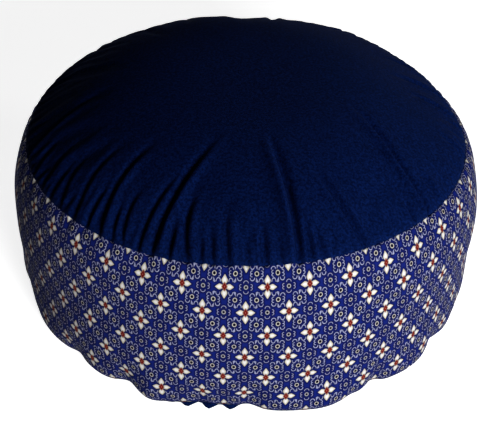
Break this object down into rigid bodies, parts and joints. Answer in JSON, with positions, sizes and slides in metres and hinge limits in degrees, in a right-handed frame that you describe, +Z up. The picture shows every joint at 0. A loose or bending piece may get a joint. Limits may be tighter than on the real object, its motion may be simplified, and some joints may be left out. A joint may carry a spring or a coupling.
{
  "type": "round floor cushion",
  "caption": "Round firm floor cushion: plain crowned top, printed side band, plain base, and a zip across the back of the band.",
  "frame": {"origin": "centre of the flat base, on the floor", "axes": "+Z up along the cushion's axis, -Y towards the front, +Y towards the zip"},
  "size_m": [0.36, 0.3596, 0.174],
  "materials": {
    "navy_cloth": "matt plain-weave cotton",
    "printed_cloth": "matt cotton with a small printed flower repeat",
    "thread": "polyester sewing thread",
    "zip_tape": "twill tape",
    "zip_coil": "nylon monofilament",
    "zip_metal": "nickel-plated zinc, lightly worn",
    "liner_cloth": "unbleached cotton calico",
    "liner_thread": "cotton sewing thread",
    "kapok": "loose kapok fibre"
  },
  "bodies": {
    "cushion": {"top_panel": "navy_cloth", "side_band_front": "printed_cloth", "zip_facing_upper": "printed_cloth", "zip_facing_lower": "printed_cloth", "base_panel": "navy_cloth", "top_seam_stitching": "thread", "base_seam_stitching": "thread", "side_seam_stitching": "thread", "zip_facing_stitching": "thread", "zip_tape_upper": "zip_tape", "zip_tape_lower": "zip_tape", "zip_coil_upper": "zip_coil", "zip_coil_lower": "zip_coil", "zip_stop_closed": "zip_metal", "zip_stop_open": "zip_metal", "liner_top": "liner_cloth", "liner_side": "liner_cloth", "liner_base": "liner_cloth", "liner_seam_stitching": "liner_thread", "liner_closing_stitches": "liner_thread", "filling": "kapok"},
    "slider": {"zip_slider": "zip_metal"},
    "pull": {"zip_pull": "zip_metal"}
  },
  "joints": [
    {"name": "zip_travel", "type": "hinge", "parent": "cushion", "child": "slider", "pos_m": [0, 0, 0.068], "axis": [0, 0, -1], "range_deg": [0, 88]},
    {"name": "pull_flip", "type": "hinge", "parent": "slider", "child": "pull", "pos_m": [-0.12651, 0.12923, 0.068], "axis": [0, 0, 1], "range_deg": [0, 175]}
  ]
}
